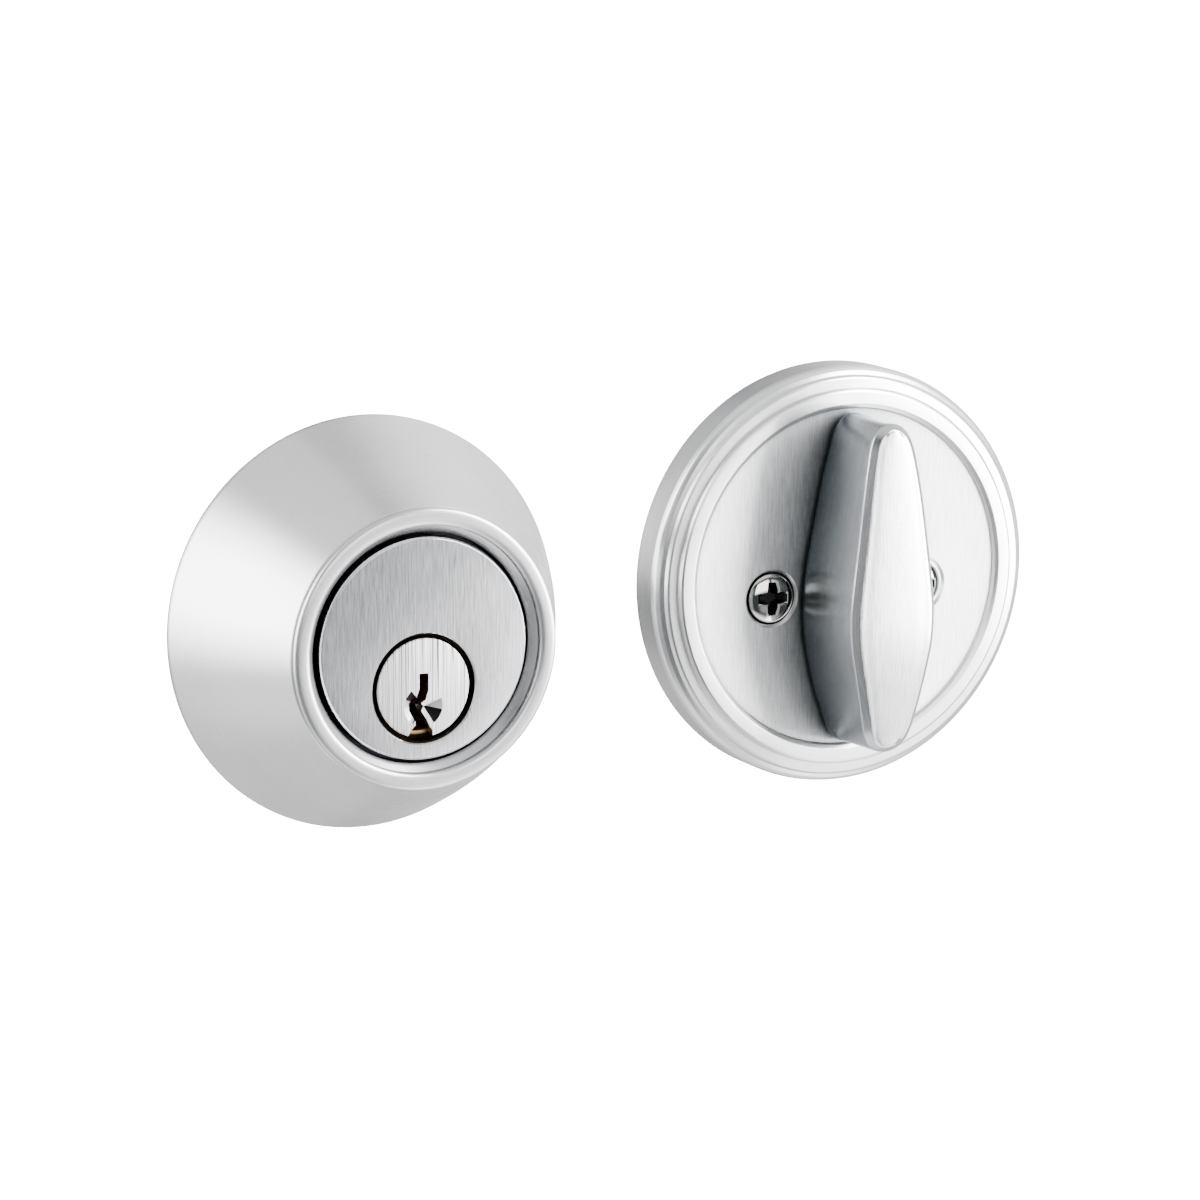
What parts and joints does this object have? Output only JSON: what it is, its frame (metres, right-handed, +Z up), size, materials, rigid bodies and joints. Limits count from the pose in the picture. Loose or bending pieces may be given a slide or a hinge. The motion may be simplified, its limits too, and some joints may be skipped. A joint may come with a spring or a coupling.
{
  "type": "deadbolt door lock",
  "caption": "Single-cylinder deadbolt: tapered key cylinder collar, stepped rose with paddle thumb turn, and a round drive-in bolt.",
  "frame": {"origin": "centre of the exterior collar on the door face, the plane both trims sit on", "axes": "+Y into the door, +Z up, +X from the exterior trim towards the interior trim; both trims face -Y"},
  "size_m": [0.1378, 0.1245, 0.0633],
  "materials": {
    "collar_satin": "satin chrome plate, turned brushing round the cone",
    "head_satin": "satin chrome plate, straight vertical brushing on the face",
    "rose_satin": "satin chrome plate, turned rim and straight brushed field",
    "turn_satin": "satin chrome plate, vertical brushing",
    "plug_nickel": "bright nickel plate with coarse vertical draw lines",
    "screw_nickel": "polished nickel plate",
    "brass": "machined brass",
    "hard_steel": "hardened steel, ground",
    "spring_steel": "tempered spring steel",
    "plated_steel": "zinc plated pressed steel",
    "bolt_satin": "satin chrome plate, lengthwise brushing"
  },
  "bodies": {
    "lock_frame": {"outer_collar": "collar_satin", "reinforcing_ring": "hard_steel", "cylinder_body": "head_satin", "cylinder_shell": "brass", "driver_pins": "brass", "pin_springs": "spring_steel", "chamber_cap": "brass", "anti_drill_pins": "hard_steel", "tail_cap": "plated_steel", "rose": "rose_satin", "rose_plate": "plated_steel", "detent_leaf": "spring_steel", "mounting_screw_left": "screw_nickel", "mounting_screw_right": "screw_nickel", "drive_in_collar": "bolt_satin", "bolt_tube": "plated_steel", "frame_cheek_left": "plated_steel", "frame_cheek_right": "plated_steel", "frame_rivets": "hard_steel"},
    "plug_group": {"key_plug": "plug_nickel", "key_pins": "brass", "plug_clip": "spring_steel"},
    "tail": {"tailpiece": "plated_steel"},
    "turn": {"thumb_turn": "turn_satin", "turn_spindle": "plated_steel", "spring_washer": "spring_steel", "spindle_clip": "spring_steel"},
    "crank": {"bolt_cam": "plated_steel"},
    "bolt": {"dead_bolt": "bolt_satin", "bolt_link": "plated_steel", "link_pin": "hard_steel"},
    "saw_pin": {"anti_saw_pin": "hard_steel"}
  },
  "joints": [
    {"name": "thumb_turn_hinge", "type": "hinge", "parent": "lock_frame", "child": "turn", "pos_m": [0.0759, 0, -0.0008], "axis": [0, 1, 0], "range_deg": [0, 90]},
    {"name": "tail_hinge", "type": "hinge", "parent": "lock_frame", "child": "tail", "pos_m": [0, 0, -0.00575], "axis": [0, 1, 0], "range_deg": [-90, 0]},
    {"name": "key_plug_hinge", "type": "hinge", "parent": "lock_frame", "child": "plug_group", "pos_m": [0, 0, -0.00575], "axis": [0, 1, 0], "range_deg": [-90, 90]},
    {"name": "bolt_cam_hinge", "type": "hinge", "parent": "lock_frame", "child": "crank", "pos_m": [0.024, 0.0415, -0.02345], "axis": [-1, 0, 0], "range_deg": [0, 90]},
    {"name": "bolt_throw", "type": "slide", "parent": "lock_frame", "child": "bolt", "axis": [0, 1, 0], "range_m": [0, 0.0254]},
    {"name": "saw_pin_roll", "type": "hinge", "parent": "bolt", "child": "saw_pin", "pos_m": [0.024, 0.0855, -0.01745], "axis": [0, 1, 0], "continuous": true}
  ],
  "couplings": [
    {"joint": "tail_hinge", "follows": "thumb_turn_hinge", "ratio": -1},
    {"joint": "bolt_cam_hinge", "follows": "thumb_turn_hinge", "ratio": 1},
    {"joint": "bolt_throw", "follows": "thumb_turn_hinge", "m_per_rad": 0.01617}
  ]
}
